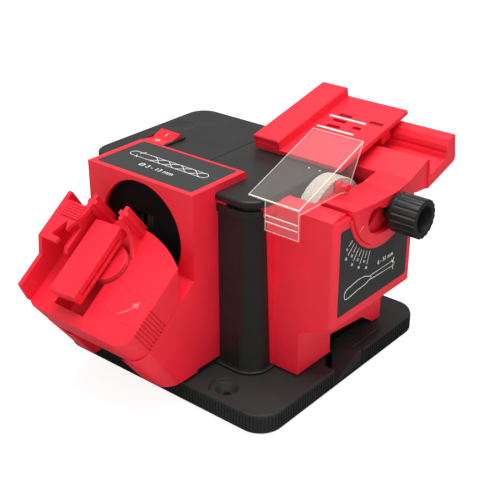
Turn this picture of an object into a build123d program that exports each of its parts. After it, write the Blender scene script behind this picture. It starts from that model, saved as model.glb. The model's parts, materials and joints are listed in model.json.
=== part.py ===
"""Tabletop sharpener for twist drills and chisels, in millimetres.

+X is the right-hand side, +Y the back and +Z up. The origin is the centre of the
base's underside. A motor in the black body drives a chisel wheel on the right and,
through a belt, a drill wheel behind the round hole in front.
"""
from build123d import *
from math import atan2, cos, degrees, pi, radians, sin, tan
import os

# ------------------------------------------------------------------ base
base_width = 170.0
base_depth = 166.5
base_height = 12.5
base_corner = 15.0
base_skin = 3.5
base_wall = 3.0
mount_span_x = 94.0
mount_span_y = 142.5
mount_hole_r = 2.2
mount_well_r = 7.2
mount_seat_r = 4.4
mount_well_depth = 4.0
mount_boss_r = 9.5
foot_r = 9.0
foot_thickness = 3.5
foot_proud = 1.5
foot_inset = 22.0

# ------------------------------------------------------------------ motor body
body_left = -77.0
body_right = 51.5
body_front = -52.25
body_back = 48.75
body_top = 127.0
body_corner = 11.0
body_wall = 2.6
flange_out = 3.3
flange_height = 2.0
band_bottom = 115.7
band_height = 4.6
band_top = band_bottom + band_height
band_out = 1.4
groove_height = 2.7
groove_depth = 1.4
cover_out = 2.3
cover_edge = 1.6
seam_x = -9.5
seam_width = 0.5
dimple_x = -65.0
dimple_y = 15.0
dimple_r = 9.0
dimple_depth = 0.9
case_boss_r = 4.5
case_screw_r = 1.5
case_head_r = 2.9
case_head_height = 2.2
case_head_sunk = 0.8
vent_count = 9
vent_width = 2.2
vent_pitch = 5.4
vent_length = 26.0
vent_z = 70.0

# ------------------------------------------------------------------ motor and spindles
spindle_y = 0.0
spindle_z = 104.0
can_r = 19.0
can_wall = 1.6
can_left = -4.0
can_right = 43.0
cap_thickness = 3.0
magnet_thickness = 3.6
magnet_gap = 5.0
armature_r = 12.6
armature_length = 26.0
armature_slots = 8
commutator_r = 6.0
commutator_length = 7.0
shaft_r = 3.0
bearing_r = 7.0
bearing_width = 4.5
running = 0.05
air = 0.3
far = 400.0
drill_spindle_y = -38.0
drill_spindle_z = 99.0
bracket_left = -49.0
bracket_thickness = 10.0
bracket_margin = 4.5
pillar_width = 15.0
pulley_r = 12.0
pulley_flange_r = 14.0
pulley_flange = 1.5
pulley_left = -37.0
belt_width = 5.0
belt_thickness = 1.6
fan_r = 20.0
fan_left = -73.5
fan_width = 7.0
fan_blades = 9
fan_disc = 1.5
fan_blade_thickness = 1.4
wheel_flange_thickness = 2.0
wheel_flange_r = 10.0
nut_across = 9.0
nut_height = 4.5

# ------------------------------------------------------------------ grinding wheels
chisel_wheel_r = 26.0
chisel_wheel_left = 59.0
chisel_wheel_width = 12.0
drill_wheel_r = 24.0
drill_wheel_width = 14.0

# ------------------------------------------------------------------ drill housing
drill_left = -59.5
drill_right = 25.0
drill_front = -73.6
hood_top = 131.4
hood_back = -26.5
ledge_z = 77.9
drill_bottom = 17.0
drill_wall = 3.0
hole_x = -16.5
hole_z = 97.1
hole_r = 31.85
seat_angle = 37.0
seat_length = 57.5
seat_thickness = 3.2
nose_bottom = 15.2
leg_width = 15.0
leg_flare = 6.0
leg_flare_top = 36.0
leg_corner_r = 9.0
hook_reach = 6.5
cover_thickness = 2.0
cover_window_x = 15.0
cover_window_z = 18.0
label_margin = 4.0
label_end_margin = 3.4
label_depth = 0.8
label_corner = 1.5

# ------------------------------------------------------------------ drill guide
guide_left = -60.0
guide_right = 25.0
guide_height = 18.8
guide_front = -57.5
guide_lift = 0.3
guide_back_r = 75.0
guide_back_x = -20.0
guide_apex_s = 12.7
guide_back_s = guide_apex_s - guide_back_r
guide_front_r = 11.0
grip_count = 8
grip_width = 1.0
grip_depth = 0.8
grip_start = -47.0
grip_end = -31.0
pocket_left = -39.0
pocket_right = -14.5
pocket_floor = 4.8
pocket_front = -50.0
well_x = -20.0
well_s = -15.0
well_r = 13.1
swing_x = -17.0
swing_s = -44.0
swing_pin_r = 3.0
swing_pin_length = 10.0
clamp_wheel_r = 12.3
clamp_wheel_top = 22.0
ring_count = 10
ring_pitch = 1.3
ring_gap = 0.6
ring_depth = 0.8
clamp_stud_r = 3.0
clamp_stud_end = 6.0
clamp_drop = 2.0
bar_left = -36.0
bar_right = -15.6
bar_front = -47.0
bar_back = 4.0
bar_top = 33.0
bar_thickness = 8.5
post_back = 14.0
post_front = 5.0
post_top = 41.0
post_rib = 2.6
post_wing = 7.0
post_left_x = -38.4
post_right_x = -12.5
gusset_out = 7.0
gusset_reach = 16.0
fence_thickness = 3.2
fence_front = -55.0
fence_low = 32.0
fence_step = -22.0
fence_back = 10.5
gauge_height = 41.0
gauge_thickness = 2.6
gauge_width = 21.0
gauge_pad_front = -5.0
gauge_pad_back = 4.8
fence_tail_low = 29.0
inner_front = -23.5
inner_top = 34.0
inner_thickness = 3.2
inner_gap = 0.5

# ------------------------------------------------------------------ chisel housing
chisel_front = -35.25
chisel_back = 45.75
chisel_right = 95.8
chisel_top = 121.0
chisel_bottom = 54.5
chisel_wall = 3.0
chisel_bevel = 4.0
roof_top = 123.0
roof_back = -23.0
roof_inset = 2.5
chisel_root = body_right - 12.0
foot_right = 72.0
underside_drop = 11.0
foot_clear = 1.5
rear_foot_back = 55.0
notch_front = -2.0
notch_back = 33.5
notch_low_back = 46.5
notch_top = 27.0
arm_clear_y = 24.0
arm_clear_z = 112.4
web_depth = 11.0
lip_thickness = 1.0
lip_low = 0.8
lip_high = 6.0
band_hook_out = 2.5
band_hook_length = 9.5
side_label_bottom = 60.2
side_label_top = 115.0
side_label_front = -31.0
side_label_back = 42.0

# ------------------------------------------------------------------ tilting table
tilt_y = 11.55
tilt_z = 127.4
tilt_limit = 35.0
table_right = 98.0
table_left = 54.4
table_thickness = 3.6
wheel_gap_right = 74.8
wheel_gap_back = 35.0
ledge_z_low = 117.9
ledge_depth = 1.6
cheek_gap = 0.35
cheek_r = 33.0
cheek_thickness = 3.2
ring_width = 2.2
ring_height = 0.9
slot_r = 18.7
slot_half = 7.9
slot_start = -125.0
slot_end = -50.0
rail_left = 0.0
rail_right = 99.0
knob_angle = -61.0
knob_r = 12.0
knob_gap = 3.0
knob_inner = table_right + knob_gap
knob_length = 17.0
knob_cup_r = 8.2
knob_cup_depth = 9.0
knob_flutes = 18
knob_flute_r = 1.1
knob_collar_r = 9.5
knob_stem_r = 6.0
knob_stud_r = 3.0
knob_stud_inner = 86.0
web_right = 93.3
web_thickness = 3.0

# ------------------------------------------------------------------ carriage
carriage_angle = 12.6
carriage_front = tilt_y + 0.95
carriage_length = 75.0
carriage_left = -1.0
carriage_right = 64.0
carriage_z = tilt_z + 3.6
carriage_thickness = 3.2
# each slot's left end, right end and front along the plate
carriage_slots = [(27, 37, 37.0), (27, 37, 44.0), (27, 37, 51.0), (44, 50, 41.0), (50, 60, 51.0)]
carriage_slot_width = 3.0
runner_front = 50.0
runner_back = 59.8
runner_depth = 13.0
pad_front = 65.0
pad_back = 72.5
pad_drop = 7.0
bar_width = 20.0
bar_height = 6.4
strip_left = 23.0
strip_right = 50.0
strip_fronts = (33.5, 47.6)
strip_width = 1.4
strip_thickness = 0.6

# ------------------------------------------------------------------ guard
guard_left = 42.5
guard_right = 78.5
guard_wall = 1.4
guard_front = -46.5
guard_front_z = 128.7
guard_back = 14.5
guard_back_z = 151.0
guard_skirt_left = 54.4
guard_skirt_bottom = 109.5
guard_side_bottom = 125.3
guard_pivot_y = -1.0
guard_pivot_z = 127.0
guard_pin_r = 1.6
guard_ear_left = 71.8
guard_ear_r = 2.8
guard_ear_width = 2.5

# ------------------------------------------------------------------ release lever
lever_inset = 19.0
lever_left = base_width / 2 - lever_inset
lever_front = -14.0
lever_pad_front = 11.5
lever_pad_back = 44.0
lever_pad_width = 14.0
lever_pad_top = 14.4
lever_travel = 4.0
lever_gap = 0.5
lever_back = 16.0
pad_groove_count = 6

# ------------------------------------------------------------------ switch and cord inlet
switch_left = -67.0
switch_right = -46.0
switch_front = -23.9
switch_back = -1.1
bezel_height = 1.2
bezel_corner = 1.5
bezel_lip = 1.0
bezel_wall = 1.0
rocker_depth = 3.0
rocker_pin_r = 1.0
rocker_rise = 6.5
inlet_x = -50.0
inlet_z = 34.0
inlet_bore = 3.6


# ------------------------------------------------------------------ helpers
def block(x0, x1, y0, y1, z0, z1):
    return Pos((x0 + x1) / 2, (y0 + y1) / 2, (z0 + z1) / 2) * Box(x1 - x0, y1 - y0, z1 - z0)


def rod_x(y, z, r, x0, x1):
    return Pos((x0 + x1) / 2, y, z) * Rot(0, 90, 0) * Cylinder(r, x1 - x0)


def rod_y(x, z, r, y0, y1):
    return Pos(x, (y0 + y1) / 2, z) * Rot(90, 0, 0) * Cylinder(r, y1 - y0)


def rod_z(x, y, r, z0, z1):
    return Pos(x, y, (z0 + z1) / 2) * Cylinder(r, z1 - z0)


def tube_x(y, z, r_out, r_in, x0, x1):
    return rod_x(y, z, r_out, x0, x1) - rod_x(y, z, r_in, x0 - 1, x1 + 1)


def column(x0, x1, y0, y1, z0, z1, r):
    outline = RectangleRounded(x1 - x0, y1 - y0, r)
    return Pos((x0 + x1) / 2, (y0 + y1) / 2, z0) * extrude(outline, amount=z1 - z0)


def flat(points, round_r, rounded):
    """A flat outline through the points, with round_r at those listed as rounded."""
    face = make_face(Polyline(*points, close=True))
    if not rounded:
        return face
    corners = [v for v in face.vertices() if any(abs(v.X - p[0]) + abs(v.Y - p[1]) < 0.01 for p in rounded)]
    return fillet(corners, round_r)


def slab_x(points, x0, x1, round_r=0.0, rounded=()):
    """A slab whose outline is given in (y, z), from x0 to x1."""
    return Plane.YZ.offset(x0) * extrude(flat(points, round_r, rounded), amount=x1 - x0)


def slab_z(points, z0, z1, round_r=0.0, rounded=()):
    """A slab whose outline is given in (x, y), from z0 to z1."""
    return Pos(0, 0, z0) * extrude(flat(points, round_r, rounded), amount=z1 - z0)


def hexagon_x(y, z, across, x0, x1):
    outline = RegularPolygon(across / 2, 6, major_radius=False)
    return Plane.YZ.offset(x0) * Pos(y, z, 0) * extrude(outline, amount=x1 - x0)


def solids_of(shape):
    if isinstance(shape, (list, ShapeList)):
        return [s for item in shape for s in solids_of(item)]
    return list(shape.solids())


parts = {}


def keep(name, *shapes):
    """Stores a sub-part: one solid, or a group of identical separate ones."""
    solids = [s for shape in shapes for s in solids_of(shape)]
    parts[name] = solids[0] if len(solids) == 1 else Compound(children=solids)


# Distances along the drill seat: x across, s up the slope from the ledge, h square to it.
seat_plane = Plane(origin=(0, drill_front, ledge_z), x_dir=(1, 0, 0),
                   z_dir=(0, -sin(radians(seat_angle)), cos(radians(seat_angle))))


def on_seat(shape):
    return seat_plane.location * shape


def seat_point(s, h):
    """The (y, z) of a place s up the seat and h above it."""
    a = radians(seat_angle)
    return (drill_front + s * cos(a) - h * sin(a), ledge_z + s * sin(a) + h * cos(a))


# ------------------------------------------------------------------ base
mount_points = [(sx * mount_span_x / 2, sy * mount_span_y / 2) for sx in (-1, 1) for sy in (-1, 1)]
foot_points = [(sx * (base_width / 2 - foot_inset), sy * (base_depth / 2 - foot_inset))
               for sx in (-1, 1) for sy in (-1, 1)]
lever_slot_front = lever_front - lever_gap
lever_slot_back = lever_back + lever_gap
lever_slot_floor = 0.7
lever_outer = base_width / 2 - 0.6
lever_nose = lever_outer - 2.0


def make_base():
    half_w = base_width / 2
    half_d = base_depth / 2
    base = column(-half_w, half_w, -half_d, half_d, 0, base_height, base_corner)
    rim = base.edges().group_by(Axis.Z)[-1]
    base = fillet(rim, 1.0)
    base -= column(-half_w + base_wall, half_w - base_wall, -half_d + base_wall, half_d - base_wall,
                   -1, base_height - base_skin, base_corner - base_wall)
    for x, y in mount_points:
        base += rod_z(x, y, mount_boss_r, 0, base_height - base_skin)
    for x, y in foot_points:
        base += rod_z(x, y, foot_r + base_wall, 0, base_height - base_skin)
        base -= rod_z(x, y, foot_r + running, -1, foot_thickness - foot_proud)
    # the lever's pocket, walled on three sides and open to the right
    wall_left = lever_left - lever_travel - lever_gap
    base += block(wall_left - base_wall, half_w - base_wall, lever_slot_front - base_wall,
                  lever_slot_back + base_wall, 0, base_height - base_skin)
    base += block(wall_left, half_w - base_wall, lever_slot_front, lever_slot_back,
                  0, base_height - base_skin)
    slot = [(wall_left, lever_slot_back), (half_w + 1, lever_slot_back), (half_w + 1, lever_slot_front),
            (lever_nose - lever_travel - lever_gap, lever_slot_front),
            (wall_left, lever_pad_front - 2 - lever_gap)]
    base -= slab_z(slot, lever_slot_floor, base_height + 1)
    base -= rod_x(spring_y, spring_z, spring_hole_r, wall_left - spring_seat, lever_left)
    for x, y in mount_points:
        base -= rod_z(x, y, mount_hole_r, -1, base_height + 1)
        well = Cone(mount_seat_r, mount_well_r, mount_well_depth)
        base -= Pos(x, y, base_height - mount_well_depth / 2) * well
    for x, y in body_screw_points:
        base -= rod_z(x, y, case_screw_r + 0.3, -1, base_height + 1)
    return base


# ------------------------------------------------------------------ motor body
def body_outer(grow=0.0):
    """The body's closed outer form, made larger all round by grow."""
    left, right = body_left - grow, body_right + grow
    front, back = body_front - grow, body_back + grow
    corner = body_corner + grow
    cover_bottom = band_top + groove_height

    def ring(out, z0, z1):
        return column(left - out, right + out, front - out, back + out, z0, z1, corner + out)

    form = ring(0, base_height, band_bottom)
    form += ring(flange_out, base_height, base_height + flange_height + grow)
    band = ring(band_out, band_bottom - grow, band_top + grow)
    form += band
    form += ring(-groove_depth, band_top, cover_bottom)
    cover = ring(cover_out, cover_bottom - grow, body_top + grow)
    form += fillet(cover.edges().group_by(Axis.Z)[-1], cover_edge)
    return form


def body_inner():
    w = body_wall
    return column(body_left + w, body_right - w, body_front + w, body_back - w,
                  base_height - 1, body_top - w, body_corner - w)


case_screw_points = [(-43.0, 22.0), (-43.0, 48.0), (38.0, 22.0), (38.0, 108.0)]
body_screw_points = [(-62.0, 34.0), (36.0, 34.0), (-62.0, -28.0), (36.0, -28.0)]
drill_screw_points = [(-52.0, 36.0), (17.5, 36.0), (-52.0, 60.0), (17.5, 60.0)]
chisel_screw_points = [(-26.0, 66.0), (33.0, 66.0), (33.0, 92.0)]
body_boss_r = 4.5
body_boss_height = 14.0
body_web = 2.4
screw_boss_r = 4.2
screw_boss_length = 10.0
wheel_window_margin = 5.0
shaft_hole_r = 6.0


def body_shells():
    half = body_wall / 2
    within = column(body_left + half, body_right - half, body_front + half, body_back - half,
                    base_height, body_top - half, body_corner - half)
    shell = body_outer() - body_inner()
    for y, z in case_screw_points:
        shell += rod_x(y, z, case_boss_r, body_left, body_right) & within
    for x, y in body_screw_points:
        shell += rod_z(x, y, body_boss_r, base_height, base_height + body_boss_height)
        wall_y = body_back if y > 0 else body_front
        web = block(x - body_web / 2, x + body_web / 2, min(y, wall_y), max(y, wall_y),
                    base_height, base_height + body_boss_height)
        shell += web & within
        shell -= rod_z(x, y, case_screw_r + running, base_height - 1, base_height + body_boss_height - 2)
    for y, z in case_screw_points:
        shell -= rod_x(y, z, case_screw_r + running, body_left - 1, seam_x + 10)
        shell -= rod_x(y, z, case_head_r + running, body_left - 1,
                       body_left + case_head_sunk + case_head_height)
    # window behind the drill wheel, hole for the shaft, and holes for the housing screws
    m = wheel_window_margin
    shell -= block(drill_left + m, drill_right - m, body_front - cover_out - 1, body_front + body_wall + 1,
                   drill_spindle_z - drill_wheel_r - 2, body_top - body_wall)
    shell -= rod_x(spindle_y, spindle_z, shaft_hole_r, body_right - body_wall - 1, body_right + 1)
    for x, z in drill_screw_points:
        shell -= rod_y(x, z, case_screw_r + 0.3, body_front - 1, body_front + body_wall + 1)
    for y, z in chisel_screw_points:
        shell -= rod_x(y, z, case_screw_r + 0.3, body_right - body_wall - 1, body_right + 1)
    # switch window and cord inlet
    shell -= switch_opening(bezel_lip - running, body_top - body_wall - 1, body_top + 1)
    shell -= rod_y(inlet_x, inlet_z, inlet_bore + 2.4, body_back - body_wall - 1, body_back + 1)
    for i in range(vent_count):
        shift = (i - (vent_count - 1) / 2) * vent_pitch
        shell -= block(shift - vent_width / 2, shift + vent_width / 2, body_back - body_wall - 1,
                       body_back + 1, vent_z - vent_length / 2, vent_z + vent_length / 2)
        shell -= block(body_left - 1, body_left + body_wall + 1, shift - vent_width / 2,
                       shift + vent_width / 2, vent_z - vent_length / 2, vent_z + vent_length / 2)
    seam = block(seam_x - seam_width / 2, seam_x + seam_width / 2, -far, far, base_height - 1, far)
    shell -= seam - body_outer(-seam_width)
    sink_r = (dimple_r ** 2 + dimple_depth ** 2) / (2 * dimple_depth)
    shell -= Pos(dimple_x, dimple_y, body_top - dimple_depth + sink_r) * Sphere(sink_r)
    left_side = block(-far, seam_x, -far, far, -far, far)
    right_side = block(seam_x, far, -far, far, -far, far)
    return shell & left_side, shell & right_side


def screw(rod, u, v, head, tip):
    """A screw along one axis, its head resting at head and its tip at tip."""
    top = head - case_head_height if tip > head else head + case_head_height
    shank = rod(u, v, case_screw_r, min(head, tip), max(head, tip))
    return shank + rod(u, v, case_head_r, min(head, top), max(head, top))


# ------------------------------------------------------------------ motor and spindles
bearing_left_x = bracket_left + 0.5
chisel_wheel_right = chisel_wheel_left + chisel_wheel_width
drill_wheel_left = hole_x - drill_wheel_width / 2
drill_wheel_right = hole_x + drill_wheel_width / 2


def bearing(y, z, x0):
    ring = tube_x(y, z, bearing_r, shaft_r + running, x0, x0 + bearing_width)
    for side in (x0, x0 + bearing_width):
        ring -= tube_x(y, z, bearing_r - 1.6, shaft_r + 1.6, side - 0.4, side + 0.4)
    return ring


def pulley(y, z):
    right = pulley_left + belt_width + 2 * air + 2 * pulley_flange
    body = rod_x(y, z, pulley_r, pulley_left, right)
    body += rod_x(y, z, pulley_flange_r, pulley_left, pulley_left + pulley_flange)
    body += rod_x(y, z, pulley_flange_r, right - pulley_flange, right)
    return body - rod_x(y, z, shaft_r, pulley_left - 1, right + 1)


def make_fan():
    hub = rod_x(spindle_y, spindle_z, shaft_r + 3, fan_left, fan_left + fan_width)
    hub += rod_x(spindle_y, spindle_z, fan_r, fan_left, fan_left + fan_disc)
    blade = Box(fan_width, fan_blade_thickness, fan_r - shaft_r - 2)
    for i in range(fan_blades):
        turned = Pos(0, spindle_y, spindle_z) * Rot(360 * i / fan_blades, 0, 0)
        hub += turned * Pos(fan_left + fan_width / 2, 0, (fan_r + shaft_r) / 2 + 1) * blade
    return hub - rod_x(spindle_y, spindle_z, shaft_r, fan_left - 1, fan_left + fan_width + 1)


def make_armature():
    mid = (can_left + can_right) / 2 - 2
    x0, x1 = mid - armature_length / 2, mid + armature_length / 2
    core = rod_x(spindle_y, spindle_z, armature_r, x0, x1)
    for i in range(armature_slots):
        slot = Pos((x0 + x1) / 2, 0, armature_r) * Box(armature_length + 2, 2.0, 9.0)
        core -= Pos(0, spindle_y, spindle_z) * Rot(360 * i / armature_slots, 0, 0) * slot
    coils = rod_x(spindle_y, spindle_z, armature_r - 3, x0 - 4, x1 + 3)
    core = (core + coils) - rod_x(spindle_y, spindle_z, shaft_r, x0 - 5, x1 + 5)
    commutator = rod_x(spindle_y, spindle_z, commutator_r, x1 + 3.2, x1 + 3.2 + commutator_length)
    commutator -= rod_x(spindle_y, spindle_z, shaft_r, x1, x1 + commutator_length + 5)
    for i in range(armature_slots):
        cut = Pos(x1 + 3.2 + commutator_length / 2, 0, commutator_r) * Box(commutator_length + 1, 0.5, 1.6)
        commutator -= Pos(0, spindle_y, spindle_z) * Rot(360 * i / armature_slots, 0, 0) * cut
    return core, commutator, x1 + 3.2


def make_motor_case():
    can = tube_x(spindle_y, spindle_z, can_r, can_r - can_wall, can_left, can_right)
    can += tube_x(spindle_y, spindle_z, can_r, shaft_r + 1.0, can_left, can_left + can_wall)
    magnets = []
    ring = tube_x(spindle_y, spindle_z, can_r - can_wall, can_r - can_wall - magnet_thickness,
                  can_left + 8, can_right - 12)
    for side in (-1, 1):
        near, beyond = spindle_y + side * magnet_gap, spindle_y + side * far
        magnets.append(ring & block(can_left, can_right, min(near, beyond), max(near, beyond), -far, far))
    cap = rod_x(spindle_y, spindle_z, can_r, can_right, can_right + cap_thickness)
    inside_r = can_r - can_wall
    cap += tube_x(spindle_y, spindle_z, inside_r - running, inside_r - 3, can_right - 6, can_right)
    cap -= rod_x(spindle_y, spindle_z, bearing_r + running, can_right - 7, can_right + cap_thickness + 1)
    return can, magnets, cap


def make_brushes(commutator_x):
    brushes = []
    for side in (-1, 1):
        inner = spindle_y + side * (commutator_r + 0.15)
        outer = spindle_y + side * (can_r - can_wall - 3.2)
        brushes.append(block(commutator_x + 1.5, commutator_x + 5.5, min(inner, outer), max(inner, outer),
                             spindle_z - 2, spindle_z + 2))
    return brushes


def make_spindle_bracket():
    """Plate with a bearing bore for each spindle, on a pillar from the base."""
    x0, x1 = bracket_left, bracket_left + bracket_thickness
    r = bearing_r + bracket_margin
    plate = rod_x(spindle_y, spindle_z, r, x0, x1) + rod_x(drill_spindle_y, drill_spindle_z, r, x0, x1)
    pillar_front = (drill_spindle_y + spindle_y - pillar_width) / 2
    pillar_back = pillar_front + pillar_width
    plate += block(x0, x1, drill_spindle_y, spindle_y, drill_spindle_z - r, spindle_z + r - 5)
    plate += block(x0, x1, pillar_front, pillar_back, base_height, spindle_z)
    plate += block(x0 - 8, x1 + 8, pillar_front, pillar_back, base_height, base_height + 4)
    for y, z in ((spindle_y, spindle_z), (drill_spindle_y, drill_spindle_z)):
        plate -= rod_x(y, z, bearing_r + running, x0 + 0.5, x1 - 0.5)
        plate -= rod_x(y, z, bearing_r - 1.5, x0 - 1, x1 + 1)
    return plate


def make_motor_cradle():
    """Saddle under the motor can, standing on the base."""
    x0, x1 = can_left + 6, can_right - 6
    saddle = block(x0, x1, spindle_y - 15, spindle_y + 15, spindle_z - can_r - 3, spindle_z - 9)
    saddle += block(x0, x1, spindle_y - 3, spindle_y + 3, base_height, spindle_z - can_r)
    for x in (x0, x1 - 4):
        saddle += block(x, x + 4, spindle_y - 14, spindle_y + 14, base_height, spindle_z - can_r)
    saddle += block(x0, x1, spindle_y - 18, spindle_y + 18, base_height, base_height + 4)
    return saddle - rod_x(spindle_y, spindle_z, can_r + running, x0 - 1, x1 + 1)


def make_belt():
    gap_y = spindle_y - drill_spindle_y
    gap_z = spindle_z - drill_spindle_z
    run = (gap_y ** 2 + gap_z ** 2) ** 0.5
    angle = degrees(atan2(gap_z, gap_y))
    x0 = pulley_left + pulley_flange + air
    middle = Pos((spindle_y + drill_spindle_y) / 2, (spindle_z + drill_spindle_z) / 2, 0)
    inner_r = pulley_r + running
    outer = extrude(SlotCenterToCenter(run, 2 * (inner_r + belt_thickness)), amount=belt_width)
    inner = extrude(SlotCenterToCenter(run, 2 * inner_r), amount=belt_width)
    return Plane.YZ.offset(x0) * middle * Rot(0, 0, angle) * (outer - inner)


def grinding_wheel(y, z, r, x0, x1):
    wheel = rod_x(y, z, r, x0, x1)
    wheel = fillet(wheel.edges(), 0.6)
    return wheel - rod_x(y, z, shaft_r, x0 - 1, x1 + 1)


def clamp_flanges(y, z, x0, x1):
    """One flange each side of a wheel."""
    left = tube_x(y, z, wheel_flange_r, shaft_r, x0 - wheel_flange_thickness, x0)
    right = tube_x(y, z, wheel_flange_r, shaft_r, x1, x1 + wheel_flange_thickness)
    return left, right


def nut(y, z, x0):
    x1 = x0 + nut_height
    return hexagon_x(y, z, nut_across, x0, x1) - rod_x(y, z, shaft_r, x0 - 1, x1 + 1)


# ------------------------------------------------------------------ drill housing
def drill_profile():
    """The housing's side outline in (y, z), from the top front corner round to the back."""
    nose_top = seat_point(-seat_length, 0)
    a = radians(seat_angle)
    reach = (nose_top[1] - nose_bottom) / cos(a)
    nose_low = (nose_top[0] + reach * sin(a), nose_bottom)
    return [(drill_front, hood_top), (drill_front, ledge_z), nose_top, nose_low,
            (drill_front + 1.0, nose_bottom), (drill_front + 1.0, drill_bottom),
            (body_front + 6, drill_bottom),
            (body_front + 6, body_top - 12), (hood_back, body_top - 12), (hood_back, hood_top)]


def make_drill_housing():
    outer = slab_x(drill_profile(), drill_left, drill_right, 2.0, [(hood_back, hood_top)])
    # the sloping front's two side corners are rounded
    (top_y, top_z), (low_y, low_z) = drill_profile()[2:4]
    middle = Vector(0, (top_y + low_y) / 2, (top_z + low_z) / 2)
    sides = [e for e in outer.edges() if (Vector(0, e.center().Y, e.center().Z) - middle).length < 0.1]
    outer = fillet(sides, leg_corner_r)
    inner_front = drill_front + drill_wall
    hollow = block(drill_left + drill_wall, drill_right - drill_wall, inner_front, body_front + far,
                   drill_bottom + drill_wall, body_top - 0.5)
    housing = outer - hollow
    # the recess between the two legs under the seat plate, narrower at the legs' feet
    seat_under = [seat_point(-seat_length - 20, -seat_thickness), seat_point(-0.5, -seat_thickness),
                  (drill_front - 0.01, ledge_z - 8), (drill_front - 0.01, 0), (-far, 0)]
    recess_left, recess_right = drill_left + leg_width, drill_right - leg_width
    recess = slab_x(seat_under, recess_left, recess_right)
    recess -= block(recess_left - 1, recess_left + leg_flare, -far, drill_front, 0, leg_flare_top)
    recess -= block(recess_right - leg_flare, recess_right + 1, -far, drill_front, 0, leg_flare_top)
    housing -= recess
    housing -= rod_y(hole_x, hole_z, hole_r, drill_front - 30, inner_front + 0.5)
    boss_front = body_front - screw_boss_length
    for x, z in drill_screw_points:
        wall_x = drill_right - 1 if x > hole_x else drill_left + 1
        housing += rod_y(x, z, screw_boss_r, boss_front, body_front)
        housing += block(min(x, wall_x), max(x, wall_x), boss_front, body_front, z - 1, z + 1)
        housing -= rod_y(x, z, case_screw_r + running, boss_front + 1, body_front + 1)
    # label recess in the top
    housing -= column(drill_left + label_margin, drill_right - label_margin, drill_front + label_end_margin,
                      hood_back - label_end_margin, hood_top - label_depth, hood_top + 1, label_corner)
    # the pivot pin's hole in the seat
    housing += on_seat(rod_z(swing_x, swing_s, swing_pin_r + 2.5, -swing_pin_length / 2 - 1, 0))
    housing -= on_seat(rod_z(swing_x, swing_s, swing_pin_r, -swing_pin_length / 2, 1))
    # a hook that reaches into the body's groove
    hook = block(drill_right - 3, drill_right + hook_reach, body_front - 0.5, body_front + groove_depth,
                 band_top + 0.2, band_top + groove_height - 0.4)
    return (housing - body_outer()) + hook


def make_inner_cover():
    """Black disc behind the round hole, with a window where the drill meets the wheel."""
    y0 = drill_front + drill_wall
    cover = rod_y(hole_x, hole_z, hole_r + 3.0, y0, y0 + cover_thickness)
    cover &= block(-far, far, -far, far, drill_bottom, body_top - 0.7)
    return cover - block(hole_x - cover_window_x / 2, hole_x + cover_window_x / 2, y0 - 1, y0 + 10,
                         drill_spindle_z - cover_window_z / 2, drill_spindle_z + cover_window_z / 2)


def make_drill_label():
    side, end = label_margin + running, label_end_margin + running
    return column(drill_left + side, drill_right - side, drill_front + end, hood_back - end,
                  hood_top - label_depth, hood_top - 0.2, label_corner - running)


# ------------------------------------------------------------------ drill guide
def guide_outline():
    """The block's outline in (x, s), an arc behind and rounded corners in front."""
    r = guide_back_r

    def back_s(x):
        return guide_back_s + (r ** 2 - (x - guide_back_x) ** 2) ** 0.5
    left_end = (guide_left, back_s(guide_left))
    right_end = (guide_right, back_s(guide_right))
    apex = (guide_back_x, guide_back_s + r)
    back = ThreePointArc(left_end, apex, right_end)
    sides = Polyline(right_end, (guide_right, guide_front), (guide_left, guide_front), left_end)
    face = make_face([back, sides])
    corners = [v for v in face.vertices() if abs(v.Y - guide_front) < 0.01]
    return fillet(corners, guide_front_r)


def make_guide_block():
    block_ = Pos(0, 0, guide_lift) * extrude(guide_outline(), amount=guide_height - guide_lift)
    # the back face stands upright, so it leans forward towards the seat
    lean = tan(radians(seat_angle)) * guide_height
    beyond = 4 * guide_back_r
    cutter = Pos(guide_back_x, guide_back_s + beyond / 2) * Rectangle(beyond, beyond)
    cutter -= Pos(guide_back_x, guide_back_s) * Circle(guide_back_r)
    a = radians(seat_angle)
    sweep = extrude(Pos(0, -lean, 0) * cutter, amount=(guide_height + 0.02) / cos(a), dir=(0, sin(a), cos(a)))
    block_ -= sweep
    top = guide_height + 1
    block_ -= block(pocket_left, pocket_right, pocket_front, well_s, pocket_floor, top)
    block_ -= rod_z(well_x, well_s, well_r, pocket_floor, top)
    block_ -= rod_z(well_x, well_s, clamp_stud_r + 0.4, 0, top)
    block_ -= rod_z(swing_x, swing_s, swing_pin_r + running, 0, swing_pin_length / 2)
    step = (grip_end - grip_start) / (grip_count - 1)
    for i in range(grip_count):
        s = grip_start + i * step
        for x in (guide_left, guide_right):
            block_ -= block(x - grip_depth, x + grip_depth, s - grip_width / 2, s + grip_width / 2, 0, top)
    post_low = guide_height - 0.5
    for x in (post_left_x, post_right_x):
        block_ += block(x - post_rib / 2, x + post_rib / 2, post_front, post_back, post_low, post_top)
        mid = (post_front + post_back) / 2
        block_ += block(x - post_wing / 2, x + post_wing / 2, mid - post_rib / 2, mid + post_rib / 2,
                        post_low, post_top)
    run = (gusset_out ** 2 + gusset_reach ** 2) ** 0.5
    low = guide_height - 1
    gusset = make_face([Polyline((run, low), (0, low), (0, post_top - 2)),
                        ThreePointArc((0, post_top - 2), (run * 0.35, guide_height + 7), (run, low))])
    web = Plane(origin=(post_right_x, post_front + 1, 0), x_dir=(gusset_out, -gusset_reach - 1, 0),
                z_dir=(-gusset_reach - 1, -gusset_out, 0)).location
    block_ += web * Pos(0, 0, -post_rib / 2) * extrude(gusset, amount=post_rib)
    return on_seat(block_)


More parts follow.
